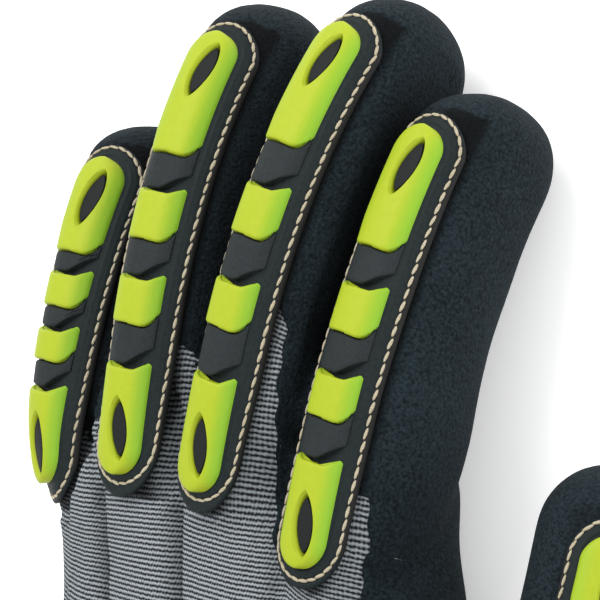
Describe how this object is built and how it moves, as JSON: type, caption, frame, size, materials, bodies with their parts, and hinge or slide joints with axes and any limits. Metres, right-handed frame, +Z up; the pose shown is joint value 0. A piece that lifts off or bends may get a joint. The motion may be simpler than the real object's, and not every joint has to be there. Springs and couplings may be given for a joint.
{
  "type": "cut-resistant winter glove",
  "caption": "Left-hand winter work glove, coated palm and fingers, knitted back and cuff, with a stitched impact guard of lime pads and dark links along each finger.",
  "frame": {"origin": "on the surface the glove lies on, under the middle of its box", "axes": "+Z up out of the back of the hand, +Y from the cuff to the fingertips, +X towards the thumb"},
  "size_m": [0.1644, 0.2655, 0.0512],
  "materials": {
    "coating": "black sandy nitrile coating, matt",
    "knit": "grey and white knit with thin dark courses",
    "lime_rubber": "lime thermoplastic rubber, satin",
    "dark_rubber": "dark grey thermoplastic rubber, satin"
  },
  "bodies": {
    "root": {"thumb_stall": "coating", "index_stall": "coating", "middle_stall": "coating", "ring_stall": "coating", "little_stall": "coating", "knit_back": "knit", "palm": "coating", "knit_cuff": "knit", "thumb_guard_flange": "dark_rubber", "thumb_pad_1": "lime_rubber", "thumb_pad_2": "lime_rubber", "thumb_pad_3": "lime_rubber", "thumb_link_1": "dark_rubber", "thumb_link_2": "dark_rubber", "index_guard_flange": "dark_rubber", "index_pad_1": "lime_rubber", "index_pad_2": "lime_rubber", "index_pad_3": "lime_rubber", "index_pad_4": "lime_rubber", "index_link_1": "dark_rubber", "index_link_2": "dark_rubber", "index_link_3": "dark_rubber", "middle_guard_flange": "dark_rubber", "middle_pad_1": "lime_rubber", "middle_pad_2": "lime_rubber", "middle_pad_3": "lime_rubber", "middle_pad_4": "lime_rubber", "middle_link_1": "dark_rubber", "middle_link_2": "dark_rubber", "middle_link_3": "dark_rubber", "ring_guard_flange": "dark_rubber", "ring_pad_1": "lime_rubber", "ring_pad_2": "lime_rubber", "ring_pad_3": "lime_rubber", "ring_pad_4": "lime_rubber", "ring_link_1": "dark_rubber", "ring_link_2": "dark_rubber", "ring_link_3": "dark_rubber", "little_guard_flange": "dark_rubber", "little_pad_1": "lime_rubber", "little_pad_2": "lime_rubber", "little_pad_3": "lime_rubber", "little_pad_4": "lime_rubber", "little_link_1": "dark_rubber", "little_link_2": "dark_rubber", "little_link_3": "dark_rubber"}
  },
  "joints": []
}
